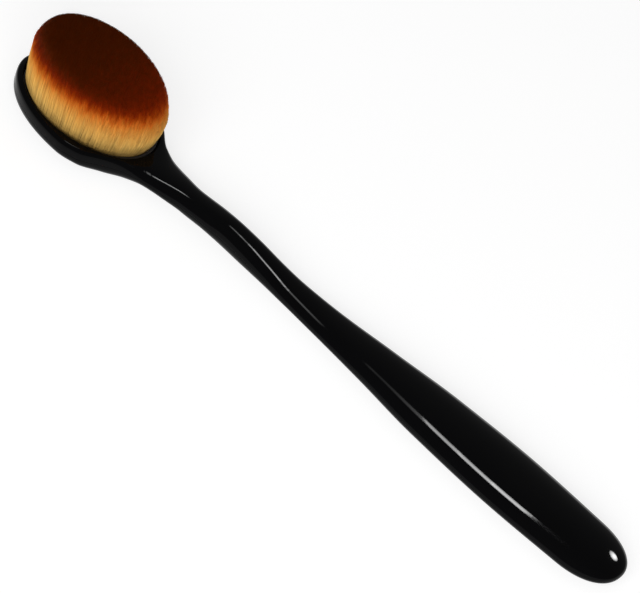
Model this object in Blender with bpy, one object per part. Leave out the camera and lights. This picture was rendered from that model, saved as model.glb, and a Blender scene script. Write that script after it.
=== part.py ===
"""Oval cosmetic brush: two moulded handle halves, a bristle cup and its pack of fibres.

Units are metres and +Z is up. The brush lies on its back on the plane Z = 0, with the head at -X,
the tail at +X and the bristles pointing up. It is symmetric about the plane Y = 0.
"""

import math

import bmesh
import bpy

# Body, lengths along X. The throat, where the bristle pocket ends, is measured from the head tip,
# its neighbours from the throat and the grip from the tail.
LENGTH = 0.1650
THROAT_AT = 0.0345
WIDEST_BEFORE_THROAT = 0.0127
REAR_BEFORE_THROAT = 0.0079
SHOULDER_BEFORE_THROAT = 0.0040
NECK_ROOT_AFTER_THROAT = 0.0040
NECK_LEVEL_AFTER_THROAT = 0.0090
NECK_RISE_AFTER_THROAT = 0.0135
NECK_CLIMB_AFTER_THROAT = 0.0200
NECK_AFTER_THROAT = 0.0240
NECK_FALL_AFTER_THROAT = 0.0300
BEND_AFTER_THROAT = 0.0360
BEND_END_AFTER_THROAT = 0.0430
FLARE_FROM_TAIL = 0.0645
SWELL_FROM_TAIL = 0.0485
PALM_FROM_TAIL = 0.0285
TAIL_ROUND = 0.0105

# Body, full widths. The tail width is what the sides aim at behind the round end.
HEAD_WIDTH = 0.0278
THROAT_WIDTH = 0.0128
NECK_ROOT_WIDTH = 0.01008
NECK_LEVEL_WIDTH = 0.00822
NECK_RISE_WIDTH = 0.0069
NECK_CLIMB_WIDTH = 0.00686
NECK_WIDTH = 0.0064
NECK_FALL_WIDTH = 0.00656
BEND_WIDTH = 0.0067
BEND_END_WIDTH = 0.00738
WAIST_WIDTH = 0.00854
FLARE_WIDTH = 0.01132
SWELL_WIDTH = 0.01484
PALM_WIDTH = 0.01664
TAIL_WIDTH = 0.0150

# Rim left round the bristle pocket
RIM_AT_NOSE = 0.0014
RIM_AT_SIDE = 0.0018
RIM_AT_REAR = 0.0024
RIM_AT_SHOULDER = 0.0016

# Body, heights above the rest plane: a wave along the top, and an arch under the neck.
# The rim and the seam rise a little from the shoulder to the nose.
RIM_HEIGHT = 0.00555
RIM_RISE_AT_WIDEST = 0.0002
RIM_RISE_AT_NOSE = 0.0008
THROAT_TOP = 0.0051
NECK_ROOT_TOP = 0.00514
NECK_LEVEL_TOP = 0.00547
NECK_RISE_TOP = 0.00574
NECK_CLIMB_TOP = 0.00636
NECK_TOP = 0.00672
NECK_FALL_TOP = 0.00635
BEND_TOP = 0.00552
BEND_END_TOP = 0.00471
WAIST_TOP = 0.00453
FLARE_TOP = 0.00527
SWELL_TOP = 0.00571
PALM_TOP = 0.00582
NECK_ROOT_LIFT = 0.00078
NECK_LEVEL_LIFT = 0.00101
NECK_RISE_LIFT = 0.00100
NECK_CLIMB_LIFT = 0.00128
NECK_LIFT = 0.00097
NECK_FALL_LIFT = 0.00078
BEND_LIFT = 0.00074
BEND_END_LIFT = 0.00076
WAIST_LIFT = 0.00070
FLARE_LIFT = 0.00030
HEAD_SEAM = 0.0032
SEAM_RISE_AT_WIDEST = 0.0001
SEAM_RISE_AT_NOSE = 0.0004
HEAD_FLAT_DEPTH = 0.00035
GRIP_FLAT_DEPTH = 0.00005

# Body, roundness of the head's plan and of the cross-sections: 2 is an ellipse, more is boxier
PLAN_ROUNDNESS = 2.1
RIM_ROUNDNESS = 6.0
BACK_ROUNDNESS = 2.7
GRIP_ROUNDNESS = 2.2
NOSE_BLUNT_ANGLE = 0.12

# Shells
WALL = 0.0016
INNER_WIDTH_SHARE = 0.5
SEAM_GAP = 0.0003
PEG_DIAMETER = 0.0020
PEG_CLEARANCE = 0.0003
BOSS_WALL = 0.0009
REAR_PEG_FROM_TAIL = 0.0200
FRONT_PEG_FROM_TAIL = 0.0500

# What sits in the head's pocket, from the floor up
FIT_GAP = 0.0003
POCKET_FLOOR = 0.0019
GLUE_THICKNESS = 0.0003
GLUE_MARGIN = 0.0010
CUP_WALL = 0.0006
CUP_FLOOR = 0.0004
CUP_BELOW_RIM = 0.0008
RESIN_THICKNESS = 0.0003
BACKING_THICKNESS = 0.0004

# Bristles above the rim: height at the edge, extra height in the middle, slope towards the neck
BRISTLE_EDGE_HEIGHT = 0.0068
BRISTLE_DOME = 0.0049
BRISTLE_DOME_ROUNDNESS = 13.0
BRISTLE_SLANT = 0.0019
BRISTLE_FLARE_ALONG = 1.085
BRISTLE_FLARE_ACROSS = 1.12
STRAND_ROWS = 18
STRAND_GAP = 0.00022

# Mesh fineness
NOSE_STEPS = 11
HEAD_STEPS = 14
GRIP_STEPS = 19
TAIL_STEPS = 8
SECTION_STEPS = 12
OVAL_SEGMENTS = 56
PIN_SEGMENTS = 20
SHARP_ANGLE = math.radians(40)

# Places worked out from the sizes above
HEAD_TIP_X = -LENGTH / 2
TAIL_TIP_X = LENGTH / 2
THROAT_X = HEAD_TIP_X + THROAT_AT
HEAD_WIDEST_X = THROAT_X - WIDEST_BEFORE_THROAT
NOSE_LENGTH = HEAD_WIDEST_X - HEAD_TIP_X
REAR_X = THROAT_X - REAR_BEFORE_THROAT
SHOULDER_X = THROAT_X - SHOULDER_BEFORE_THROAT
NECK_ROOT_X = THROAT_X + NECK_ROOT_AFTER_THROAT
NECK_LEVEL_X = THROAT_X + NECK_LEVEL_AFTER_THROAT
NECK_RISE_X = THROAT_X + NECK_RISE_AFTER_THROAT
NECK_CLIMB_X = THROAT_X + NECK_CLIMB_AFTER_THROAT
NECK_X = THROAT_X + NECK_AFTER_THROAT
NECK_FALL_X = THROAT_X + NECK_FALL_AFTER_THROAT
BEND_X = THROAT_X + BEND_AFTER_THROAT
BEND_END_X = THROAT_X + BEND_END_AFTER_THROAT
FLARE_X = TAIL_TIP_X - FLARE_FROM_TAIL
WAIST_X = (BEND_X + FLARE_X) / 2
SWELL_X = TAIL_TIP_X - SWELL_FROM_TAIL
PALM_X = TAIL_TIP_X - PALM_FROM_TAIL
TAIL_START_X = TAIL_TIP_X - TAIL_ROUND
PEG_PLACES = (TAIL_TIP_X - REAR_PEG_FROM_TAIL, TAIL_TIP_X - FRONT_PEG_FROM_TAIL)
POCKET_HALF_LENGTH = (THROAT_AT - RIM_AT_NOSE) / 2
POCKET_HALF_WIDTH = HEAD_WIDTH / 2 - RIM_AT_SIDE
POCKET_CUT_TOP = RIM_HEIGHT + RIM_RISE_AT_NOSE + WALL
OVAL_X = THROAT_X - POCKET_HALF_LENGTH
CUP_HALF_LENGTH = POCKET_HALF_LENGTH - FIT_GAP
CUP_HALF_WIDTH = POCKET_HALF_WIDTH - FIT_GAP
GLUE_HALF_LENGTH = CUP_HALF_LENGTH - GLUE_MARGIN
GLUE_HALF_WIDTH = CUP_HALF_WIDTH - GLUE_MARGIN
ROOT_HALF_LENGTH = CUP_HALF_LENGTH - CUP_WALL - FIT_GAP
ROOT_HALF_WIDTH = CUP_HALF_WIDTH - CUP_WALL - FIT_GAP
GLUE_BOTTOM = POCKET_FLOOR + FIT_GAP
GLUE_TOP = GLUE_BOTTOM + GLUE_THICKNESS
CUP_BOTTOM = GLUE_TOP + FIT_GAP
CUP_TOP = RIM_HEIGHT - CUP_BELOW_RIM
RESIN_BOTTOM = CUP_BOTTOM + CUP_FLOOR + FIT_GAP
BACKING_BOTTOM = RESIN_BOTTOM + RESIN_THICKNESS + FIT_GAP
BACKING_TOP = BACKING_BOTTOM + BACKING_THICKNESS

BLACK_PLASTIC = ((0.004, 0.004, 0.005), 0.18)
CUP_PLASTIC = ((0.012, 0.012, 0.013), 0.45)
CLEAR_GLUE = ((0.55, 0.52, 0.44), 0.35)
POTTING_RESIN = ((0.40, 0.31, 0.18), 0.40)
DYED_FIBRE = ((0.21, 0.07, 0.015), 0.60)


def monotone_curve(points, x):
    """Height at x of a smooth curve through (x, value) points that never overshoots them."""
    if x <= points[0][0]:
        return points[0][1]
    if x >= points[-1][0]:
        return points[-1][1]
    gaps = [b[0] - a[0] for a, b in zip(points, points[1:])]
    rises = [(b[1] - a[1]) / gap for a, b, gap in zip(points, points[1:], gaps)]
    slopes = [0.0]
    for k in range(1, len(rises)):
        before, after = rises[k - 1], rises[k]
        if before * after <= 0.0:
            slopes.append(0.0)
            continue
        near = 2 * gaps[k] + gaps[k - 1]
        far = gaps[k] + 2 * gaps[k - 1]
        slopes.append((near + far) / (near / before + far / after))
    slopes.append(0.0)
    k = max(i for i in range(len(gaps)) if points[i][0] <= x)
    t = (x - points[k][0]) / gaps[k]
    start, end = points[k][1], points[k + 1][1]
    lean_start, lean_end = slopes[k] * gaps[k], slopes[k + 1] * gaps[k]
    return (
        start * (2 * t**3 - 3 * t**2 + 1)
        + lean_start * (t**3 - 2 * t**2 + t)
        + end * (3 * t**2 - 2 * t**3)
        + lean_end * (t**3 - t**2)
    )


def pocket_half_width(x):
    """Half the width of the bristle pocket's oval at x."""
    along = (x - OVAL_X) / POCKET_HALF_LENGTH
    return POCKET_HALF_WIDTH * math.sqrt(max(0.0, 1.0 - along**2))


# Handle sections from the neck to the palm: place, width, top and bottom
HANDLE = [
    (NECK_ROOT_X, NECK_ROOT_WIDTH, NECK_ROOT_TOP, NECK_ROOT_LIFT),
    (NECK_LEVEL_X, NECK_LEVEL_WIDTH, NECK_LEVEL_TOP, NECK_LEVEL_LIFT),
    (NECK_RISE_X, NECK_RISE_WIDTH, NECK_RISE_TOP, NECK_RISE_LIFT),
    (NECK_CLIMB_X, NECK_CLIMB_WIDTH, NECK_CLIMB_TOP, NECK_CLIMB_LIFT),
    (NECK_X, NECK_WIDTH, NECK_TOP, NECK_LIFT),
    (NECK_FALL_X, NECK_FALL_WIDTH, NECK_FALL_TOP, NECK_FALL_LIFT),
    (BEND_X, BEND_WIDTH, BEND_TOP, BEND_LIFT),
    (BEND_END_X, BEND_END_WIDTH, BEND_END_TOP, BEND_END_LIFT),
    (WAIST_X, WAIST_WIDTH, WAIST_TOP, WAIST_LIFT),
    (FLARE_X, FLARE_WIDTH, FLARE_TOP, FLARE_LIFT),
    (SWELL_X, SWELL_WIDTH, SWELL_TOP, -GRIP_FLAT_DEPTH),
    (PALM_X, PALM_WIDTH, PALM_TOP, -GRIP_FLAT_DEPTH),
]
WIDTHS = [
    (HEAD_WIDEST_X, HEAD_WIDTH),
    (REAR_X, 2 * (pocket_half_width(REAR_X) + RIM_AT_REAR)),
    (SHOULDER_X, 2 * (pocket_half_width(SHOULDER_X) + RIM_AT_SHOULDER)),
    (THROAT_X, THROAT_WIDTH),
    *[(x, width) for x, width, top, bottom in HANDLE],
    (TAIL_TIP_X, TAIL_WIDTH),
]
TOPS = [
    (HEAD_TIP_X, RIM_HEIGHT + RIM_RISE_AT_NOSE),
    (HEAD_WIDEST_X, RIM_HEIGHT + RIM_RISE_AT_WIDEST),
    (SHOULDER_X, RIM_HEIGHT),
    (THROAT_X, THROAT_TOP),
    *[(x, top) for x, width, top, bottom in HANDLE],
]
BOTTOMS = [
    (SHOULDER_X, -HEAD_FLAT_DEPTH),
    (THROAT_X, -GRIP_FLAT_DEPTH),
    *[(x, bottom) for x, width, top, bottom in HANDLE],
]
SEAMS = [
    (HEAD_TIP_X, HEAD_SEAM + SEAM_RISE_AT_NOSE),
    (HEAD_WIDEST_X, HEAD_SEAM + SEAM_RISE_AT_WIDEST),
    (SHOULDER_X, HEAD_SEAM),
    *[(x, (top + bottom) / 2) for x, width, top, bottom in HANDLE[1:]],
]


def rounding(share, roundness):
    """How much of a size is left at a share, 0 to 1, of the way into a rounded end."""
    return max(0.0, 1.0 - share**roundness) ** (1.0 / roundness)


def end_shares(x):
    """Shares of the way into the head's nose and into the tail's round end."""
    nose = max(0.0, (HEAD_WIDEST_X - x) / NOSE_LENGTH) * math.cos(NOSE_BLUNT_ANGLE)
    tail = max(0.0, (x - TAIL_START_X) / TAIL_ROUND) * math.cos(NOSE_BLUNT_ANGLE)
    return nose, tail


def handle_share(x):
    """0 over the head, 1 from the root of the neck on."""
    return monotone_curve([(SHOULDER_X, 0.0), (NECK_ROOT_X, 1.0)], x)


def half_width(x):
    nose, tail = end_shares(x)
    full = monotone_curve(WIDTHS, x) / 2
    return full * rounding(nose, PLAN_ROUNDNESS) * rounding(tail, GRIP_ROUNDNESS)


def seam_height(x):
    return monotone_curve(SEAMS, x)


def roundness_at(x, front):
    head = RIM_ROUNDNESS if front else BACK_ROUNDNESS
    share = handle_share(x)
    return head * (1.0 - share) + GRIP_ROUNDNESS * share


def rise(x, front):
    """Height of the front half above the seam, or depth of the back half below it."""
    if front:
        full = monotone_curve(TOPS, x) - seam_height(x)
    else:
        full = seam_height(x) - monotone_curve(BOTTOMS, x)
    nose, tail = end_shares(x)
    return full * rounding(nose, roundness_at(x, front)) * rounding(tail, GRIP_ROUNDNESS)


def station_places():
    """X of every cross-section, closer together where the ends are round."""
    places = []
    for k in range(NOSE_STEPS):
        angle = NOSE_BLUNT_ANGLE + (math.pi / 2 - NOSE_BLUNT_ANGLE) * k / NOSE_STEPS
        places.append(HEAD_WIDEST_X - NOSE_LENGTH * math.cos(angle) / math.cos(NOSE_BLUNT_ANGLE))
    for k in range(HEAD_STEPS):
        places.append(HEAD_WIDEST_X + (NECK_X - HEAD_WIDEST_X) * k / HEAD_STEPS)
    for k in range(GRIP_STEPS):
        places.append(NECK_X + (TAIL_START_X - NECK_X) * k / GRIP_STEPS)
    for k in range(TAIL_STEPS + 1):
        angle = (math.pi / 2 - NOSE_BLUNT_ANGLE) * k / TAIL_STEPS
        places.append(TAIL_START_X + TAIL_ROUND * math.sin(angle) / math.cos(NOSE_BLUNT_ANGLE))
    return places


def arch(width, height, roundness):
    """Points (y, height) of half a rounded section, from +Y over the crown to -Y."""
    points = []
    for k in range(SECTION_STEPS + 1):
        angle = math.pi * k / SECTION_STEPS
        across = math.copysign(abs(math.cos(angle)) ** (2.0 / roundness), math.cos(angle))
        up = 0.0 if k in (0, SECTION_STEPS) else math.sin(angle) ** (2.0 / roundness)
        points.append((width * across, height * up))
    return points


def shell_ring(x, front):
    """Closed cross-section of one half shell: the outer arch, then the hollow's arch back."""
    side = 1.0 if front else -1.0
    seam = seam_height(x) + side * SEAM_GAP / 2
    outer_rise = rise(x, front) - SEAM_GAP / 2
    outer_width = half_width(x)
    roundness = roundness_at(x, front)
    hollow = FLARE_X <= x <= TAIL_START_X
    inner_rise = outer_rise - WALL if hollow else 0.0
    inner_width = max(outer_width - WALL, outer_width * INNER_WIDTH_SHARE)
    outer = arch(outer_width, outer_rise, roundness)
    inner = reversed(arch(inner_width, inner_rise, roundness))
    return [(x, y, max(0.0, seam + side * height)) for y, height in [*outer, *inner]]


def loft(rings):
    """Closed skin over a row of rings with equal numbers of points."""
    bm = bmesh.new()
    loops = [[bm.verts.new(point) for point in ring] for ring in rings]
    for here, there in zip(loops, loops[1:]):
        for k in range(len(here)):
            after = (k + 1) % len(here)
            bm.faces.new((here[k], here[after], there[after], there[k]))
    bm.faces.new(loops[0])
    bm.faces.new(loops[-1])
    bmesh.ops.recalc_face_normals(bm, faces=bm.faces)
    return bm


def oval_prism(half_length, half_breadth, bottom, top):
    """Upright oval block centred on the bristle oval's axis."""
    bm = bmesh.new()
    bmesh.ops.create_cone(
        bm, cap_ends=True, segments=OVAL_SEGMENTS, radius1=1.0, radius2=1.0, depth=top - bottom
    )
    bmesh.ops.scale(bm, vec=(half_length, half_breadth, 1.0), verts=bm.verts)
    bmesh.ops.translate(bm, vec=(0.0, 0.0, (bottom + top) / 2), verts=bm.verts)
    return bm


def pin(diameter, bottom, top):
    """Upright round pin on the Z axis."""
    bm = bmesh.new()
    radius = diameter / 2
    depth = top - bottom
    bmesh.ops.create_cone(
        bm, cap_ends=True, segments=PIN_SEGMENTS, radius1=radius, radius2=radius, depth=depth
    )
    bmesh.ops.translate(bm, vec=(0.0, 0.0, (bottom + top) / 2), verts=bm.verts)
    return bm


def material(name, finish):
    colour, roughness = finish
    made = bpy.data.materials.new(name)
    made.use_nodes = True
    shader = made.node_tree.nodes["Principled BSDF"]
    shader.inputs["Base Color"].default_value = (*colour, 1.0)
    shader.inputs["Roughness"].default_value = roughness
    shader.inputs["Metallic"].default_value = 0.0
    return made


def add_object(name, bm, collection, x=0.0):
    mesh = bpy.data.meshes.new(name)
    bm.to_mesh(mesh)
    bm.free()
    mesh.shade_smooth()
    mesh.set_sharp_from_angle(angle=SHARP_ANGLE)
    made = bpy.data.objects.new(name, mesh)
    made.location.x = x
    collection.objects.link(made)
    return made


def add_cutter(name, bm, collection, x=0.0):
    cutter = add_object(name, bm, collection, x)
    cutter.hide_render = True
    cutter.display_type = "WIRE"
    return cutter


def cut_or_join(target, other, operation):
    modifier = target.modifiers.new(other.name, "BOOLEAN")
    modifier.operation = operation
    modifier.solver = "EXACT"
    modifier.object = other


def front_shell(parts, cutters, pocket):
    """Upper half: handle top, head rim, oval opening and the sockets that take the pegs."""
    shell = add_object("front_shell", loft([shell_ring(x, True) for x in station_places()]), parts)
    cut_or_join(shell, pocket, "DIFFERENCE")
    boss_diameter = PEG_DIAMETER + 2 * PEG_CLEARANCE + 2 * BOSS_WALL
    for number, x in enumerate(PEG_PLACES):
        foot = WALL + monotone_curve(BOTTOMS, x) + FIT_GAP
        ceiling = monotone_curve(TOPS, x) - WALL
        boss = pin(boss_diameter, foot, ceiling + WALL / 2)
        cut_or_join(shell, add_cutter(f"boss_{number}", boss, cutters, x), "UNION")
        socket = pin(PEG_DIAMETER + 2 * PEG_CLEARANCE, foot - WALL, ceiling)
        cut_or_join(shell, add_cutter(f"socket_{number}", socket, cutters, x), "DIFFERENCE")
    return shell


def back_shell(parts, cutters, pocket):
    """Lower half: handle back, the flat under the head, the pocket floor and the pegs."""
    shell = add_object("back_shell", loft([shell_ring(x, False) for x in station_places()]), parts)
    cut_or_join(shell, pocket, "DIFFERENCE")
    for number, x in enumerate(PEG_PLACES):
        floor = WALL + monotone_curve(BOTTOMS, x)
        tip = monotone_curve(TOPS, x) - WALL - FIT_GAP
        peg = pin(PEG_DIAMETER, floor - WALL / 2, tip)
        cut_or_join(shell, add_cutter(f"peg_{number}", peg, cutters, x), "UNION")
    return shell


def bristle_cup(parts):
    """Thin oval cup that holds the potted roots of the fibres."""
    bm = oval_prism(CUP_HALF_LENGTH, CUP_HALF_WIDTH, CUP_BOTTOM, CUP_TOP)
    mouth = max(bm.faces, key=lambda face: face.calc_center_median().z)
    bmesh.ops.inset_region(bm, faces=[mouth], thickness=CUP_WALL, use_even_offset=True)
    floor = bmesh.ops.extrude_discrete_faces(bm, faces=[mouth])["faces"][0]
    drop = CUP_TOP - CUP_BOTTOM - CUP_FLOOR
    bmesh.ops.translate(bm, vec=(0.0, 0.0, -drop), verts=floor.verts)
    bmesh.ops.recalc_face_normals(bm, faces=bm.faces)
    return add_object("bristle_cup", bm, parts, OVAL_X)


def cup_glue(parts):
    """Film of adhesive between the pocket floor and the cup."""
    bm = oval_prism(GLUE_HALF_LENGTH, GLUE_HALF_WIDTH, GLUE_BOTTOM, GLUE_TOP)
    return add_object("cup_glue", bm, parts, OVAL_X)


def root_resin(parts):
    """Potting that locks the fibre roots in the cup."""
    bm = oval_prism(ROOT_HALF_LENGTH, ROOT_HALF_WIDTH, RESIN_BOTTOM, RESIN_BOTTOM + RESIN_THICKNESS)
    return add_object("root_resin", bm, parts, OVAL_X)


def disc_from_square(u, v):
    """Point of the unit disc for a point of the square from -1 to 1, with even areas."""
    if u == 0.0 and v == 0.0:
        return 0.0, 0.0
    if abs(u) > abs(v):
        radius, angle = u, math.pi / 4 * v / u
    else:
        radius, angle = v, math.pi / 2 - math.pi / 4 * u / v
    return radius * math.cos(angle), radius * math.sin(angle)


def tip_height(x, y):
    """Height of the bristle tips above the rest plane, from their place in the flared oval."""
    along = x / (ROOT_HALF_LENGTH * BRISTLE_FLARE_ALONG)
    across = y / (ROOT_HALF_WIDTH * BRISTLE_FLARE_ACROSS)
    share = min(1.0, math.hypot(along, across))
    dome = BRISTLE_DOME * (1.0 - share**BRISTLE_DOME_ROUNDNESS)
    return RIM_HEIGHT + BRISTLE_EDGE_HEIGHT + dome - BRISTLE_SLANT * along


def bristle_pack(parts):
    """Flared, four-sided strands standing on a slice of their backing."""
    bm = bmesh.new()
    bmesh.ops.create_grid(bm, x_segments=STRAND_ROWS, y_segments=STRAND_ROWS, size=1.0)
    for vert in bm.verts:
        x, y = disc_from_square(vert.co.x, vert.co.y)
        vert.co = (ROOT_HALF_LENGTH * x, ROOT_HALF_WIDTH * y, BACKING_TOP)
    roots = list(bm.faces)
    bmesh.ops.inset_individual(bm, faces=roots, thickness=STRAND_GAP / 2, use_even_offset=True)
    tips = bmesh.ops.extrude_discrete_faces(bm, faces=roots)["faces"]
    for vert in {vert for face in tips for vert in face.verts}:
        vert.co.x *= BRISTLE_FLARE_ALONG
        vert.co.y *= BRISTLE_FLARE_ACROSS
        vert.co.z = tip_height(vert.co.x, vert.co.y)
    rim = [edge for edge in bm.edges if edge.is_boundary]
    skirt = bmesh.ops.extrude_edge_only(bm, edges=rim)["geom"]
    lower = [item for item in skirt if isinstance(item, bmesh.types.BMVert)]
    bmesh.ops.translate(bm, vec=(0.0, 0.0, -BACKING_THICKNESS), verts=lower)
    bmesh.ops.holes_fill(bm, edges=[edge for edge in bm.edges if edge.is_boundary])
    bmesh.ops.recalc_face_normals(bm, faces=bm.faces)
    return add_object("bristle_pack", bm, parts, OVAL_X)


def clear_scene():
    for old in list(bpy.data.objects):
        bpy.data.objects.remove(old, do_unlink=True)


def new_collection(name):
    made = bpy.data.collections.new(name)
    bpy.context.scene.collection.children.link(made)
    return made


def main():
    clear_scene()
    parts = new_collection("oval_cosmetic_brush")
    cutters = new_collection("cutters")
    pocket = add_cutter(
        "pocket",
        oval_prism(POCKET_HALF_LENGTH, POCKET_HALF_WIDTH, POCKET_FLOOR, POCKET_CUT_TOP),
        cutters,
        OVAL_X,
    )
    finishes = {
        front_shell(parts, cutters, pocket): BLACK_PLASTIC,
        back_shell(parts, cutters, pocket): BLACK_PLASTIC,
        bristle_cup(parts): CUP_PLASTIC,
        cup_glue(parts): CLEAR_GLUE,
        root_resin(parts): POTTING_RESIN,
        bristle_pack(parts): DYED_FIBRE,
    }
    brush = bpy.data.objects.new("brush", None)
    parts.objects.link(brush)
    for piece, finish in finishes.items():
        piece.data.materials.append(material(f"{piece.name}_finish", finish))
        piece.parent = brush


main()
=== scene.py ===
import math
import random

import bmesh
import bpy
from mathutils import Matrix, Vector, noise


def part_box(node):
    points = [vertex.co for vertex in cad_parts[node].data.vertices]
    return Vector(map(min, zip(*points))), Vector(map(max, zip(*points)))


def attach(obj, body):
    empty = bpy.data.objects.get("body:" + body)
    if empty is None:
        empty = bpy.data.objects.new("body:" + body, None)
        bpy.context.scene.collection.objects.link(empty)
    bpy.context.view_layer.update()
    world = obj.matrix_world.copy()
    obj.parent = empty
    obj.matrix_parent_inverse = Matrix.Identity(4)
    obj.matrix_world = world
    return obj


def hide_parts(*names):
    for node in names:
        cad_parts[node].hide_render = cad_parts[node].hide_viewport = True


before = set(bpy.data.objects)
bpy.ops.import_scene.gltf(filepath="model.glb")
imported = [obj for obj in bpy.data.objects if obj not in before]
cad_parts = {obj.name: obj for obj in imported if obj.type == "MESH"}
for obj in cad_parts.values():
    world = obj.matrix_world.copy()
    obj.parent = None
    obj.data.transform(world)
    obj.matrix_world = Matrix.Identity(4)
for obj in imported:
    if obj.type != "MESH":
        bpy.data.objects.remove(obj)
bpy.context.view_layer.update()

# Handle, places along X
HEAD_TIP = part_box("front_shell")[0].x
TAIL_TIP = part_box("front_shell")[1].x
THROAT = HEAD_TIP + 0.0345
WIDEST = THROAT - 0.0127
REAR = THROAT - 0.0079
SHOULDER = THROAT - 0.0040
NECK_ROOT = THROAT + 0.0040
NECK_LEVEL = THROAT + 0.0090
NECK_RISE = THROAT + 0.0135
NECK_CLIMB = THROAT + 0.0200
NECK = THROAT + 0.0240
NECK_FALL = THROAT + 0.0300
BEND = THROAT + 0.0360
BEND_END = THROAT + 0.0430
FLARE = TAIL_TIP - 0.0645
WAIST = (BEND + FLARE) / 2
SWELL = TAIL_TIP - 0.0485
PALM = TAIL_TIP - 0.0285
TAIL_START = TAIL_TIP - 0.0105

# Bristle pocket in the head
RIM_AT_NOSE = 0.0014
RIM_HEIGHT = 0.00555
RIM_AT_NOSE_LIFT = 0.0008
RIM_AT_WIDEST_LIFT = 0.0002
POCKET_FLOOR = 0.0019
POCKET_HALF_LENGTH = (THROAT - HEAD_TIP - RIM_AT_NOSE) / 2
POCKET_HALF_WIDTH = 0.0121
POCKET_X = THROAT - POCKET_HALF_LENGTH
LIP_ROUND = 0.00020
LIP_STEPS = 5

# Head and tail, half widths and heights
HEAD_HALF_WIDTH = 0.0139
REAR_HALF_WIDTH = 0.0127
SHOULDER_HALF_WIDTH = 0.0095
THROAT_HALF_WIDTH = 0.0064
TAIL_HALF_WIDTH = 0.0075
THROAT_TOP = 0.0051
HEAD_FLAT_DEPTH = 0.00035
GRIP_FLAT_DEPTH = 0.00005
SEAM_AT_NOSE = 0.0036
SEAM_AT_WIDEST = 0.0033
SEAM_AT_SHOULDER = 0.0032

# Handle sections from the neck to the palm: place, half width, top and bottom
HANDLE = [
    (NECK_ROOT, 0.00504, 0.00514, 0.00078),
    (NECK_LEVEL, 0.00411, 0.00547, 0.00101),
    (NECK_RISE, 0.00345, 0.00574, 0.00100),
    (NECK_CLIMB, 0.00343, 0.00636, 0.00128),
    (NECK, 0.00320, 0.00672, 0.00097),
    (NECK_FALL, 0.00328, 0.00635, 0.00078),
    (BEND, 0.00335, 0.00552, 0.00074),
    (BEND_END, 0.00369, 0.00471, 0.00076),
    (WAIST, 0.00427, 0.00453, 0.00070),
    (FLARE, 0.00566, 0.00527, 0.00030),
    (SWELL, 0.00742, 0.00571, -GRIP_FLAT_DEPTH),
    (PALM, 0.00832, 0.00582, -GRIP_FLAT_DEPTH),
]
HALF_WIDTHS = [
    (WIDEST, HEAD_HALF_WIDTH),
    (REAR, REAR_HALF_WIDTH),
    (SHOULDER, SHOULDER_HALF_WIDTH),
    (THROAT, THROAT_HALF_WIDTH),
    *[(x, width) for x, width, top, bottom in HANDLE],
    (TAIL_TIP, TAIL_HALF_WIDTH),
]
TOPS = [
    (HEAD_TIP, RIM_HEIGHT + RIM_AT_NOSE_LIFT),
    (WIDEST, RIM_HEIGHT + RIM_AT_WIDEST_LIFT),
    (SHOULDER, RIM_HEIGHT),
    (THROAT, THROAT_TOP),
    *[(x, top) for x, width, top, bottom in HANDLE],
]
BOTTOMS = [
    (SHOULDER, -HEAD_FLAT_DEPTH),
    (THROAT, -GRIP_FLAT_DEPTH),
    *[(x, bottom) for x, width, top, bottom in HANDLE],
]
SEAMS = [
    (HEAD_TIP, SEAM_AT_NOSE),
    (WIDEST, SEAM_AT_WIDEST),
    (SHOULDER, SEAM_AT_SHOULDER),
    *[(x, (top + bottom) / 2) for x, width, top, bottom in HANDLE[1:]],
]

# Roundness of the sections: 2 is an ellipse, more is boxier
RIM_ROUNDNESS = 6.0
BACK_ROUNDNESS = 2.7
GRIP_ROUNDNESS = 2.2
PLAN_ROUNDNESS = 2.1

# Parting line: half the gap between the halves, the small chamfer beside it and the most it takes
# of a thin end, and the heights, in chamfers, of the skin's first rows and of the arch's foot
PARTING_GAP = 0.00001
PARTING_CHAMFER = 0.00004
CHAMFER_SHARE = 0.25
CHAMFER_ROWS = (0, 1, 3)
ARCH_FOOT = 4

# Half the height over which the back blends into the flat it lies on
FLAT_BLEND = 0.00012

# Fineness of the handle
NOSE_STEPS = 14
POCKET_STEPS = 120
GRIP_STEPS = 120
TAIL_STEPS = 26
SECTION_STEPS = 26
JOINT_STEPS = 5
WELD = 0.000002
SMOOTH_ANGLE = math.radians(50)

# Bristle pack, as half lengths and half widths of its oval
ROOT_OVAL = (0.0152, 0.0109)
MOUTH_OVAL = (0.0160, 0.01190)
WAIST_OVAL = (0.01655, 0.0121)
CROWN_OVAL = (0.01675, 0.0122)
ROOT_HEIGHT = 0.0045
BACKING_DEPTH = 0.0003
BACKING_STEP = 0.00005
MOUTH_ABOVE_RIM = 0.0005
WAIST_SHARE = 0.5
EDGE_HEIGHT = 0.0068
DOME = 0.0049
DOME_ROUNDNESS = 13.0
SLANT = 0.0019

# Fibres: how they fill the oval, their radius from root to tip, and how they lean
FIBRE_SETS = 6
FIBRE_ROWS = 72
FIBRE_SCATTER = 1.2
FIBRE_REACH = 0.995
SET_TURN = 0.37
FIBRE_RADII = (0.00007, 0.00007, 0.00006, 0.000025)
LEAN_SHARES = (0.0, 0.1, 0.5, 1.0)
TIP_LEAN = 0.00007
TIP_UNEVEN = 0.00005
CLUMP_SIZE = 0.0014
CLUMP_LEAN = 0.00005
CLUMP_SEED = 1

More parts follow.
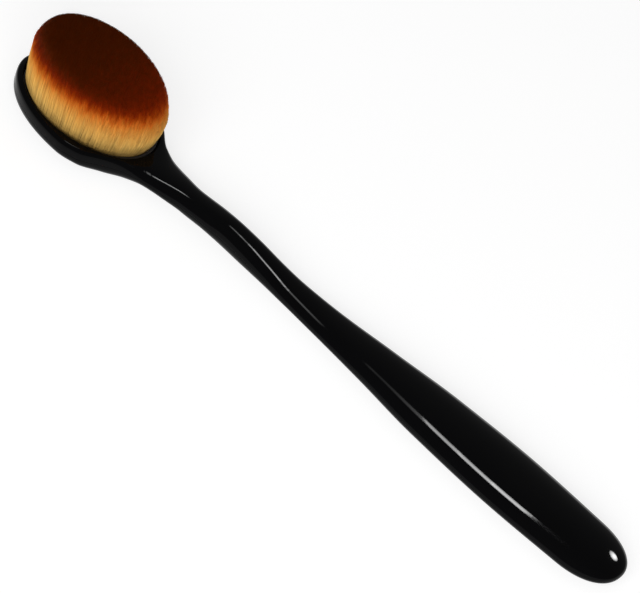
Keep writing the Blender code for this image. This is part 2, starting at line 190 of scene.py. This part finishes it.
# Dye on the fibres, with painted shade on the lowest stops where the pocket's rim shades the roots:
# colours by height above the rim, and how ragged they are
DYE_REACH = 0.0130
DYE_JAG = 0.0014
DYE_AND_ROOT_SHADE_STOPS = [
    # The lowest stops, up to 2.5 mm above the rim, are darkened as painted shade where the rim shades the
    # fibre roots
    (0.0, (0.30, 0.185, 0.052)),
    (0.0012, (0.43, 0.265, 0.071)),
    (0.0025, (0.68, 0.415, 0.109)),
    (0.0045, (0.82, 0.46, 0.105)),
    (0.0065, (0.85, 0.37, 0.062)),
    (0.0075, (0.80, 0.24, 0.027)),
    (0.0085, (0.58, 0.095, 0.005)),
    (0.0095, (0.31, 0.025, 0.0012)),
    (0.0105, (0.175, 0.0175, 0.0008)),
    (0.0115, (0.102, 0.0145, 0.0005)),
    (0.0130, (0.074, 0.0118, 0.0003)),
]

# Noise on the finishes is scaled per millimetre
MM_PER_METRE = 1000.0

# Fibre finish: clumped streaks shift the dye up and down, and a finer grain shades each fibre
FIBRE_ROUGHNESS = 0.55
FIBRE_SHINE = 0.12
STREAK_SCALE = 1.1
STREAK_STRETCH = (1.0, 1.0, 0.06)
STREAK_DETAIL = 3.0
GRAIN_SCALE = 2.6
GRAIN_STRETCH = (1.0, 1.0, 0.04)
GRAIN_RANGE = (0.3, 0.7)
GRAIN_SHADES = (0.90, 1.10)

# Plastic finish: a faint flow in the tone and the gloss, and a very fine orange peel
PLASTIC_SHINE = 0.075
PLASTIC_TONES = ((0.0009, 0.0009, 0.0011), (0.0018, 0.0018, 0.0021))
PLASTIC_ROUGHNESS = (0.03, 0.06)
FLOW_SCALE = 0.16
FLOW_STRETCH = (0.35, 1.0, 1.0)
PEEL_SCALE = 0.7
PEEL_STRENGTH = 0.01
PEEL_DEPTH = 0.0002

# Finishes of what is held inside: CAD node, name, dark and light tone, roughness
INNER_FINISHES = [
    ("bristle_cup", "cup_plastic", (0.008, 0.008, 0.009), (0.016, 0.016, 0.017), 0.45),
    ("cup_glue", "cured_glue", (0.48, 0.45, 0.37), (0.60, 0.57, 0.49), 0.35),
    ("root_resin", "potting_resin", (0.32, 0.24, 0.13), (0.46, 0.36, 0.21), 0.40),
]
MOTTLE_SCALE = 0.8
MOTTLE_ROUGHNESS = 0.08

# Floor and sky
FLOOR_HALF_SIZE = 6.0
FLOOR_BELOW = 0.0001
FLOOR_GREY = 0.4
FLOOR_ROUGHNESS = 0.9
FLOOR_GLOW = 0.74
SKY_STRENGTH = 0.25

# Key lamp: place, aim, size and power
KEY_LAMP = ((0.40, -0.87, 0.50), (-0.006, 0.0, 0.006), (1.2, 0.6), 13.2)

# Row of soft panels over the handle: start and end along X, reach of the aim, radiance and spread
STRIP_PANELS = [
    (-0.250, -0.175, 0.170, 14.0, 17.5),
    (-0.175, -0.150, 0.205, 57.0, 15.6),
    (-0.150, -0.115, 0.175, 77.0, 15.6),
    (-0.115, -0.0865, 0.160, 94.0, 16.6),
]
STRIP_Y = 0.085
STRIP_HEIGHT = 0.59
STRIP_WIDTH = 0.10
STRIP_AIM_Y = -0.0015
STRIP_AIM_HEIGHT = 0.005

# Single panels for the gloss on the neck, the throat and the tail: place, aim, size, radiance, spread
NECK_PANEL = ((-0.039, 0.021, 0.15), (-0.0231, 0.0, 0.0055), (0.021, 0.040), 54.0, 13.0)
THROAT_PANEL = ((-0.0835, 0.0108, 0.10), (-0.0402, -0.003, 0.005), (0.008, 0.009), 46.0, 10.0)
TAIL_PANEL = ((0.150, 0.617, 0.508), (0.080, 0.001, 0.005), (0.17, 0.12), 95.0, 14.0)

# Camera, fitted to the photograph
PICTURE_WIDTH = 640
FOCAL_PIXELS = 3545.418
SENSOR = 36.0
CAMERA_TARGET = Vector((0.000401, 0.0, 0.006889))
CAMERA_DISTANCE = 0.700
CAMERA_CLIP = (0.01, 100.0)
CAMERA_AZIMUTH = math.radians(26.251)
CAMERA_ELEVATION = math.radians(40.0)
CAMERA_ROLL = math.radians(23.419)


def smooth_curve(points, x):
    """Value at x of a smooth curve through (x, value) points that never overshoots them."""
    if x <= points[0][0]:
        return points[0][1]
    if x >= points[-1][0]:
        return points[-1][1]
    gaps = [b[0] - a[0] for a, b in zip(points, points[1:])]
    rises = [(b[1] - a[1]) / gap for a, b, gap in zip(points, points[1:], gaps)]
    slopes = [0.0]
    for k in range(1, len(rises)):
        before, after = rises[k - 1], rises[k]
        if before * after <= 0.0:
            slopes.append(0.0)
            continue
        near = 2 * gaps[k] + gaps[k - 1]
        far = gaps[k] + 2 * gaps[k - 1]
        slopes.append((near + far) / (near / before + far / after))
    slopes.append(0.0)
    k = max(i for i in range(len(gaps)) if points[i][0] <= x)
    t = (x - points[k][0]) / gaps[k]
    start, end = points[k][1], points[k + 1][1]
    return (
        start * (2 * t**3 - 3 * t**2 + 1)
        + slopes[k] * gaps[k] * (t**3 - 2 * t**2 + t)
        + end * (3 * t**2 - 2 * t**3)
        + slopes[k + 1] * gaps[k] * (t**3 - t**2)
    )


def rounding(share, roundness):
    """How much of a size is left at a share, 0 to 1, of the way into a rounded end."""
    return max(0.0, 1.0 - min(1.0, share) ** roundness) ** (1.0 / roundness)


def end_shares(x):
    """Shares of the way into the head's nose and into the tail's round end."""
    nose = max(0.0, (WIDEST - x) / (WIDEST - HEAD_TIP))
    tail = max(0.0, (x - TAIL_START) / (TAIL_TIP - TAIL_START))
    return nose, tail


def section(x, front):
    """Half width, seam height, rise from the seam and roundness of one half at x."""
    nose, tail = end_shares(x)
    handle = smooth_curve([(SHOULDER, 0.0), (NECK_ROOT, 1.0)], x)
    head_roundness = RIM_ROUNDNESS if front else BACK_ROUNDNESS
    roundness = head_roundness * (1.0 - handle) + GRIP_ROUNDNESS * handle
    ends = rounding(tail, GRIP_ROUNDNESS)
    width = smooth_curve(HALF_WIDTHS, x) * rounding(nose, PLAN_ROUNDNESS) * ends
    seam = smooth_curve(SEAMS, x)
    full = smooth_curve(TOPS, x) - seam if front else seam - smooth_curve(BOTTOMS, x)
    return width, seam, full * rounding(nose, roundness) * ends, roundness


def stations():
    """(x, angle) of every section: the angle runs round the pocket's lip, and is None elsewhere."""
    places = []
    lip = POCKET_HALF_LENGTH + LIP_ROUND
    nose = WIDEST - HEAD_TIP
    nose_angle = math.acos((WIDEST - POCKET_X + lip) / nose)
    for k in range(NOSE_STEPS):
        places.append((WIDEST - nose * math.cos(nose_angle * k / NOSE_STEPS), None))
    for k in range(POCKET_STEPS + 1):
        angle = math.pi * k / POCKET_STEPS
        places.append((POCKET_X - lip * math.cos(angle), angle))
    start = POCKET_X + lip
    for k in range(1, GRIP_STEPS):
        places.append((start + (TAIL_START - start) * k / GRIP_STEPS, None))
    for k in range(TAIL_STEPS + 1):
        angle = math.pi / 2 * k / TAIL_STEPS
        places.append((TAIL_START + (TAIL_TIP - TAIL_START) * math.sin(angle), None))
    return places


STATIONS = stations()


def skin_point(station, row, front):
    """Point of a half's outer skin: row 0 is the parting line and the last row the crown or the lip."""
    x, angle = station
    side = 1.0 if front else -1.0
    width, seam, rise, roundness = section(x, front)
    seam += side * PARTING_GAP
    chamfer = min(PARTING_CHAMFER, rise * CHAMFER_SHARE, width * CHAMFER_SHARE)
    if row == 0:
        return x, width - chamfer, seam
    first_row = len(CHAMFER_ROWS)
    if row < first_row:
        height = chamfer * CHAMFER_ROWS[row]
        across = width * rounding(height / max(rise, WELD), roundness)
        return x, across, seam + side * height
    end = (POCKET_HALF_WIDTH + LIP_ROUND) * math.sin(angle) if front and angle is not None else 0.0
    share = end / width if width > WELD else 0.0
    last = math.acos(min(1.0, share ** (roundness / 2)))
    first = math.asin(min(1.0, (ARCH_FOOT * chamfer / max(rise, WELD)) ** (roundness / 2)))
    turn = first + (last - first) * (row - first_row) / (SECTION_STEPS - first_row)
    across = width * max(0.0, math.cos(turn)) ** (2.0 / roundness)
    height = rise * math.sin(turn) ** (2.0 / roundness)
    if row == SECTION_STEPS:
        across = end
    z = seam + side * height
    return x, across, z if front else soft_floor(z)


def soft_floor(z):
    """Keeps the back on the plane it lies on, with a soft change into the flat."""
    if z >= FLAT_BLEND:
        return z
    if z <= -FLAT_BLEND:
        return 0.0
    return (z + FLAT_BLEND) ** 2 / (4 * FLAT_BLEND)


def joint_point(station, row, front):
    """Point of the face a half turns to the other half, from the parting line to the middle or pocket."""
    x, angle = station
    outer = Vector(skin_point(station, 0, front))
    if angle is None:
        inner = Vector((x, 0.0, outer.z))
    else:
        inner = pocket_point(angle, outer.z)
    return outer.lerp(inner, row / JOINT_STEPS)


def pocket_point(angle, z):
    """Point of the pocket's oval at an angle from the nose, at height z."""
    x = POCKET_X - POCKET_HALF_LENGTH * math.cos(angle)
    return Vector((x, POCKET_HALF_WIDTH * math.sin(angle), z))


def bent_grid(bm, rows, place):
    """Grid whose columns are the handle's stations, bent by a function of (station, row)."""
    columns = len(STATIONS) - 1
    made = bmesh.ops.create_grid(bm, x_segments=columns, y_segments=rows, size=1.0)["verts"]
    for vert in made:
        column = round((vert.co.x + 1.0) / 2 * columns)
        row = round((vert.co.y + 1.0) / 2 * rows)
        vert.co = place(STATIONS[column], row)


def open_loops(bm):
    """Boundary edges of the mesh, as a list for each separate loop."""
    waiting = dict.fromkeys(edge for edge in bm.edges if edge.is_boundary)
    loops = []
    while waiting:
        loop = [waiting.popitem()[0]]
        for edge in loop:
            for nearby in [item for vert in edge.verts for item in vert.link_edges if item in waiting]:
                del waiting[nearby]
                loop.append(nearby)
        loops.append(loop)
    return loops


def pull_loop(bm, edges, move):
    """Extrudes a loop of edges and moves the new loop by a function of each point."""
    made = bmesh.ops.extrude_edge_only(bm, edges=edges)["geom"]
    for vert in [item for item in made if isinstance(item, bmesh.types.BMVert)]:
        vert.co = move(vert.co)
    return [item for item in made if isinstance(item, bmesh.types.BMEdge)]


def half_shell(front):
    """One closed half of the handle: outer skin, joint face, and the pocket that goes into it."""
    bm = bmesh.new()
    bent_grid(bm, SECTION_STEPS, lambda station, row: skin_point(station, row, front))
    bent_grid(bm, JOINT_STEPS, lambda station, row: joint_point(station, row, front))
    bmesh.ops.remove_doubles(bm, verts=bm.verts, dist=WELD)
    whole = bm.verts[:] + bm.edges[:] + bm.faces[:]
    bmesh.ops.mirror(bm, geom=whole, axis="Y", merge_dist=WELD)
    bmesh.ops.remove_doubles(bm, verts=bm.verts, dist=WELD)
    if front:
        lip = max(open_loops(bm), key=lambda loop: sum(edge.verts[0].co.z for edge in loop) / len(loop))
        for k in range(1, LIP_STEPS + 1):
            before = LIP_ROUND * (1.0 - math.sin(math.pi / 2 * (k - 1) / LIP_STEPS))
            after = LIP_ROUND * (1.0 - math.sin(math.pi / 2 * k / LIP_STEPS))
            drop = LIP_ROUND * (
                math.cos(math.pi / 2 * (k - 1) / LIP_STEPS) - math.cos(math.pi / 2 * k / LIP_STEPS)
            )
            shrink_x = (POCKET_HALF_LENGTH + after) / (POCKET_HALF_LENGTH + before)
            shrink_y = (POCKET_HALF_WIDTH + after) / (POCKET_HALF_WIDTH + before)
            lip = pull_loop(
                bm,
                lip,
                lambda co: Vector((POCKET_X + (co.x - POCKET_X) * shrink_x, co.y * shrink_y, co.z - drop)),
            )
        bmesh.ops.bridge_loops(bm, edges=[edge for loop in open_loops(bm) for edge in loop])
    else:
        mouth = open_loops(bm)[0]
        foot = pull_loop(bm, mouth, lambda co: Vector((co.x, co.y, POCKET_FLOOR)))
        bmesh.ops.holes_fill(bm, edges=foot)
    bmesh.ops.recalc_face_normals(bm, faces=bm.faces)
    return bm


def disc_from_square(u, v):
    """Point of the unit disc for a point of the square from -1 to 1, with even areas."""
    if u == 0.0 and v == 0.0:
        return 0.0, 0.0
    if abs(u) > abs(v):
        radius, angle = u, math.pi / 4 * v / u
    else:
        radius, angle = v, math.pi / 2 - math.pi / 4 * u / v
    return radius * math.cos(angle), radius * math.sin(angle)


def tip_height(u, v):
    """Height of the fibre tips at a point of the unit disc: domed, and sloped towards the neck."""
    share = min(1.0, math.hypot(u, v))
    return RIM_HEIGHT + EDGE_HEIGHT + DOME * (1.0 - share**DOME_ROUNDNESS) - SLANT * u


def fibre_path(u, v, draw):
    """Points of one fibre from its root to its tip, with a small lean of its own and of its clump."""
    tip = tip_height(u, v) + draw.gauss(0.0, TIP_UNEVEN)
    sway = noise.noise_vector(Vector((u * CROWN_OVAL[0], v * CROWN_OVAL[1], 0.0)) / CLUMP_SIZE)
    lean_x = draw.gauss(0.0, TIP_LEAN) + sway.x * CLUMP_LEAN
    lean_y = draw.gauss(0.0, TIP_LEAN) + sway.y * CLUMP_LEAN
    mouth = RIM_HEIGHT + MOUTH_ABOVE_RIM
    levels = (
        (ROOT_OVAL, ROOT_HEIGHT),
        (MOUTH_OVAL, mouth),
        (WAIST_OVAL, mouth + (tip - mouth) * WAIST_SHARE),
        (CROWN_OVAL, tip),
    )
    return [
        Vector((POCKET_X + oval[0] * u + lean_x * share, oval[1] * v + lean_y * share, z))
        for (oval, z), share in zip(levels, LEAN_SHARES)
    ]


def fibre_set(number):
    """A share of the bristle pack: thin tapered fibres standing on a slice of backing."""
    draw = random.Random(number)
    bm = bmesh.new()
    bmesh.ops.create_grid(bm, x_segments=FIBRE_ROWS, y_segments=FIBRE_ROWS, size=1.0)
    turn = Matrix.Rotation(math.pi / 2 * (number + SET_TURN) / FIBRE_SETS, 2)
    places = {}
    for vert in bm.verts:
        places[vert] = turn @ Vector(disc_from_square(vert.co.x, vert.co.y))
    strand = bm.faces.layers.int.new("strand")
    roots = list(bm.faces)
    paths = []
    spins = []
    spread = FIBRE_SCATTER / FIBRE_ROWS
    for number_in_set, face in enumerate(roots):
        u, v = sum((places[vert] for vert in face.verts), Vector((0.0, 0.0))) / len(face.verts)
        u += draw.uniform(-spread, spread)
        v += draw.uniform(-spread, spread)
        reach = max(1.0, math.hypot(u, v) / FIBRE_REACH)
        paths.append(fibre_path(u / reach, v / reach, draw))
        spins.append(draw.uniform(0.0, math.pi))
        face[strand] = number_in_set
    backing = ROOT_HEIGHT - BACKING_STEP * number
    for vert in bm.verts:
        u, v = places[vert]
        vert.co = (POCKET_X + ROOT_OVAL[0] * u, ROOT_OVAL[1] * v, backing)
    bmesh.ops.inset_individual(bm, faces=roots, thickness=FIBRE_RADII[0])
    tops = roots
    for level, radius in enumerate(FIBRE_RADII):
        if level:
            tops = bmesh.ops.extrude_discrete_faces(bm, faces=tops)["faces"]
        for face in tops:
            centre = paths[face[strand]][level]
            for corner, vert in enumerate(face.verts):
                angle = spins[face[strand]] + math.pi / 2 * corner
                vert.co = centre + Vector((math.cos(angle), math.sin(angle), 0.0)) * radius
    rim = [edge for edge in bm.edges if edge.is_boundary]
    foot = pull_loop(bm, rim, lambda co: co - Vector((0.0, 0.0, BACKING_DEPTH)))
    bmesh.ops.holes_fill(bm, edges=foot)
    bmesh.ops.recalc_face_normals(bm, faces=bm.faces)
    return bm


def new_material(name):
    """New material with its nodes, its links and its shader."""
    made = bpy.data.materials.new(name)
    made.use_nodes = True
    return made, made.node_tree.nodes, made.node_tree.links, made.node_tree.nodes["Principled BSDF"]


def object_noise(nodes, links, scale, stretch=(1.0, 1.0, 1.0), detail=2.0):
    """Noise on object coordinates, in millimetres, stretched along each axis."""
    place = nodes.new("ShaderNodeTexCoord")
    mapping = nodes.new("ShaderNodeMapping")
    mapping.inputs["Scale"].default_value = [MM_PER_METRE * part for part in stretch]
    pattern = nodes.new("ShaderNodeTexNoise")
    pattern.inputs["Scale"].default_value = scale
    pattern.inputs["Detail"].default_value = detail
    links.new(place.outputs["Object"], mapping.inputs["Vector"])
    links.new(mapping.outputs["Vector"], pattern.inputs["Vector"])
    return pattern


def spread_over(nodes, links, value, low, high):
    """Spreads a value from 0 to 1 over a range, and gives the node that does it."""
    made = nodes.new("ShaderNodeMapRange")
    made.inputs["To Min"].default_value = low
    made.inputs["To Max"].default_value = high
    links.new(value, made.inputs["Value"])
    return made


def two_tone(nodes, links, shader, pattern, tones, roughness):
    """Colours a shader between two tones by a pattern, with a matching range of roughness."""
    tint = nodes.new("ShaderNodeValToRGB")
    for element, tone in zip(tint.color_ramp.elements, tones):
        element.color = (*tone, 1.0)
    links.new(pattern.outputs["Fac"], tint.inputs["Fac"])
    links.new(tint.outputs["Color"], shader.inputs["Base Color"])
    gloss = spread_over(nodes, links, pattern.outputs["Fac"], *roughness)
    links.new(gloss.outputs["Result"], shader.inputs["Roughness"])


def gloss_black_plastic():
    """Polished black moulding: faint flow in the gloss and a very fine orange peel."""
    made, nodes, links, shader = new_material("gloss_black_plastic")
    shader.inputs["Specular IOR Level"].default_value = PLASTIC_SHINE
    flow = object_noise(nodes, links, FLOW_SCALE, FLOW_STRETCH)
    two_tone(nodes, links, shader, flow, PLASTIC_TONES, PLASTIC_ROUGHNESS)
    peel = object_noise(nodes, links, PEEL_SCALE)
    bump = nodes.new("ShaderNodeBump")
    bump.inputs["Strength"].default_value = PEEL_STRENGTH
    bump.inputs["Distance"].default_value = PEEL_DEPTH
    links.new(peel.outputs["Fac"], bump.inputs["Height"])
    links.new(bump.outputs["Normal"], shader.inputs["Normal"])
    return made


def dyed_fibre():
    """Synthetic fibre, tan low down and darkened by painted shade at the root, orange above and dark brown
    towards the dyed tips.
    """
    made, nodes, links, shader = new_material("dyed_fibre")
    shader.inputs["Roughness"].default_value = FIBRE_ROUGHNESS
    shader.inputs["Specular IOR Level"].default_value = FIBRE_SHINE
    place = nodes.new("ShaderNodeTexCoord")
    split = nodes.new("ShaderNodeSeparateXYZ")
    links.new(place.outputs["Object"], split.inputs["Vector"])
    streak = object_noise(nodes, links, STREAK_SCALE, STREAK_STRETCH, STREAK_DETAIL)
    jag = spread_over(nodes, links, streak.outputs["Fac"], -DYE_JAG, DYE_JAG)
    height = nodes.new("ShaderNodeMath")
    height.operation = "ADD"
    links.new(split.outputs["Z"], height.inputs[0])
    links.new(jag.outputs["Result"], height.inputs[1])
    share = nodes.new("ShaderNodeMapRange")
    share.inputs["From Min"].default_value = RIM_HEIGHT
    share.inputs["From Max"].default_value = RIM_HEIGHT + DYE_REACH
    links.new(height.outputs["Value"], share.inputs["Value"])
    # Ramp of dye colours by height; its lowest stops are painted shade at the fibre roots
    dye_and_root_shade = nodes.new("ShaderNodeValToRGB")
    ramp = dye_and_root_shade.color_ramp.elements
    ramp[0].color = (*DYE_AND_ROOT_SHADE_STOPS[0][1], 1.0)
    ramp[1].color = (*DYE_AND_ROOT_SHADE_STOPS[-1][1], 1.0)
    for above_rim, colour in DYE_AND_ROOT_SHADE_STOPS[1:-1]:
        ramp.new(above_rim / DYE_REACH).color = (*colour, 1.0)
    links.new(share.outputs["Result"], dye_and_root_shade.inputs["Fac"])
    grain = object_noise(nodes, links, GRAIN_SCALE, GRAIN_STRETCH)
    shade = spread_over(nodes, links, grain.outputs["Fac"], *GRAIN_SHADES)
    shade.inputs["From Min"].default_value, shade.inputs["From Max"].default_value = GRAIN_RANGE
    tone = nodes.new("ShaderNodeHueSaturation")
    links.new(shade.outputs["Result"], tone.inputs["Value"])
    links.new(dye_and_root_shade.outputs["Color"], tone.inputs["Color"])
    links.new(tone.outputs["Color"], shader.inputs["Base Color"])
    return made


def plain_inner(name, dark, light, roughness):
    """Cup, glue and resin: a mottled colour with a matching spread of roughness."""
    made, nodes, links, shader = new_material(name)
    mottle = object_noise(nodes, links, MOTTLE_SCALE)
    limits = (roughness - MOTTLE_ROUGHNESS, roughness + MOTTLE_ROUGHNESS)
    two_tone(nodes, links, shader, mottle, (dark, light), limits)
    return made


def add_piece(name, bm, finish, node, smooth_angle):
    """Makes a mesh object that rides on the brush and stands for a CAD node."""
    mesh = bpy.data.meshes.new(name)
    bm.to_mesh(mesh)
    bm.free()
    if smooth_angle is not None:
        mesh.shade_smooth()
        mesh.set_sharp_from_angle(angle=smooth_angle)
    mesh.materials.append(finish)
    piece = bpy.data.objects.new(name, mesh)
    bpy.context.scene.collection.objects.link(piece)
    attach(piece, "root")
    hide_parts(node)


def dress_node(node, finish):
    """Gives a carried-over CAD node its finish."""
    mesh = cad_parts[node].data
    mesh.materials.clear()
    mesh.materials.append(finish)


def add_camera():
    """Camera at the fitted place, rolled about its line of sight."""
    az, el, roll = CAMERA_AZIMUTH, CAMERA_ELEVATION, CAMERA_ROLL
    back = Vector((math.sin(az) * math.cos(el), -math.cos(az) * math.cos(el), math.sin(el)))
    level = Vector((math.cos(az), math.sin(az), 0.0))
    rise = back.cross(level)
    right = level * math.cos(roll) + rise * math.sin(roll)
    up = rise * math.cos(roll) - level * math.sin(roll)
    data = bpy.data.cameras.new("camera")
    data.sensor_width = SENSOR
    data.lens = FOCAL_PIXELS / PICTURE_WIDTH * SENSOR
    data.clip_start, data.clip_end = CAMERA_CLIP
    camera = bpy.data.objects.new("camera", data)
    turn = Matrix((right, up, back)).transposed()
    camera.matrix_world = Matrix.Translation(CAMERA_TARGET + back * CAMERA_DISTANCE) @ turn.to_4x4()
    bpy.context.scene.collection.objects.link(camera)
    bpy.context.scene.camera = camera


def add_lamp(name, place, aim, size, power, spread=180.0):
    """Rectangular soft lamp at a place, aimed at a point, with its long side along X."""
    data = bpy.data.lights.new(name, "AREA")
    data.shape = "RECTANGLE"
    data.size, data.size_y = size
    data.energy = power
    data.spread = math.radians(spread)
    lamp = bpy.data.objects.new(name, data)
    away = (Vector(place) - Vector(aim)).normalized()
    along = Vector((1.0, 0.0, 0.0))
    along = (along - away * along.dot(away)).normalized()
    turn = Matrix((along, away.cross(along), away)).transposed()
    lamp.matrix_world = Matrix.Translation(Vector(place)) @ turn.to_4x4()
    bpy.context.scene.collection.objects.link(lamp)
    return lamp


def add_panel(name, place, aim, size, radiance, spread):
    """Lamp that shows only in gloss, with the power that gives it a radiance towards its aim."""
    half = math.radians(spread) / 2
    narrowing = math.tan(half) / (math.tan(half) - half)
    power = radiance * math.pi * size[0] * size[1] / narrowing
    panel = add_lamp(name, place, aim, size, power, spread)
    panel.visible_diffuse = False
    return panel


def add_floor():
    """Plain pale floor that keeps the brush's shadow."""
    bm = bmesh.new()
    bmesh.ops.create_grid(bm, x_segments=1, y_segments=1, size=FLOOR_HALF_SIZE)
    bmesh.ops.translate(bm, vec=(0.0, 0.0, -FLOOR_BELOW), verts=bm.verts)
    mesh = bpy.data.meshes.new("floor")
    bm.to_mesh(mesh)
    bm.free()
    made, nodes, links, shader = new_material("pale_floor")
    shader.inputs["Base Color"].default_value = (FLOOR_GREY, FLOOR_GREY, FLOOR_GREY, 1.0)
    shader.inputs["Roughness"].default_value = FLOOR_ROUGHNESS
    shader.inputs["Specular IOR Level"].default_value = 0.0
    path = nodes.new("ShaderNodeLightPath")
    seen = nodes.new("ShaderNodeMath")
    seen.operation = "MAXIMUM"
    links.new(path.outputs["Is Camera Ray"], seen.inputs[0])
    links.new(path.outputs["Is Glossy Ray"], seen.inputs[1])
    seen_through = nodes.new("ShaderNodeMath")
    seen_through.operation = "MAXIMUM"
    links.new(seen.outputs["Value"], seen_through.inputs[0])
    links.new(path.outputs["Is Transmission Ray"], seen_through.inputs[1])
    lift = nodes.new("ShaderNodeMath")
    lift.operation = "MULTIPLY"
    lift.inputs[1].default_value = FLOOR_GLOW
    links.new(seen_through.outputs["Value"], lift.inputs[0])
    shader.inputs["Emission Color"].default_value = (1.0, 1.0, 1.0, 1.0)
    links.new(lift.outputs["Value"], shader.inputs["Emission Strength"])
    mesh.materials.append(made)
    floor = bpy.data.objects.new("floor", mesh)
    bpy.context.scene.collection.objects.link(floor)


def add_light():
    """Even sky, one key lamp that shapes the fibres, and panels that show only in the gloss."""
    world = bpy.data.worlds.new("studio")
    world.use_nodes = True
    sky = world.node_tree.nodes["Background"]
    sky.inputs["Color"].default_value = (1.0, 1.0, 1.0, 1.0)
    sky.inputs["Strength"].default_value = SKY_STRENGTH
    bpy.context.scene.world = world
    key = add_lamp("key", *KEY_LAMP)
    key.visible_glossy = False
    for number, (start, end, reach, radiance, spread) in enumerate(STRIP_PANELS, 1):
        middle = (start + end) / 2
        place = (middle, STRIP_Y, STRIP_HEIGHT)
        aim = (middle + reach, STRIP_AIM_Y, STRIP_AIM_HEIGHT)
        add_panel(f"strip_{number}", place, aim, (end - start, STRIP_WIDTH), radiance, spread)
    add_panel("neck", *NECK_PANEL)
    add_panel("throat", *THROAT_PANEL)
    tail = add_panel("tail", *TAIL_PANEL)
    tail.data.shape = "ELLIPSE"


# Seeded, so that every run leans the clumps the same way
noise.seed_set(CLUMP_SEED)
shell_finish = gloss_black_plastic()
add_piece("handle_front", half_shell(True), shell_finish, "front_shell", SMOOTH_ANGLE)
add_piece("handle_back", half_shell(False), shell_finish, "back_shell", SMOOTH_ANGLE)
fibre_finish = dyed_fibre()
for part in range(FIBRE_SETS):
    add_piece(f"fibres_{part + 1}", fibre_set(part), fibre_finish, "bristle_pack", None)
for node, name, dark, light, roughness in INNER_FINISHES:
    dress_node(node, plain_inner(name, dark, light, roughness))
add_floor()
add_light()
add_camera()
bpy.context.scene.view_settings.view_transform = "Standard"
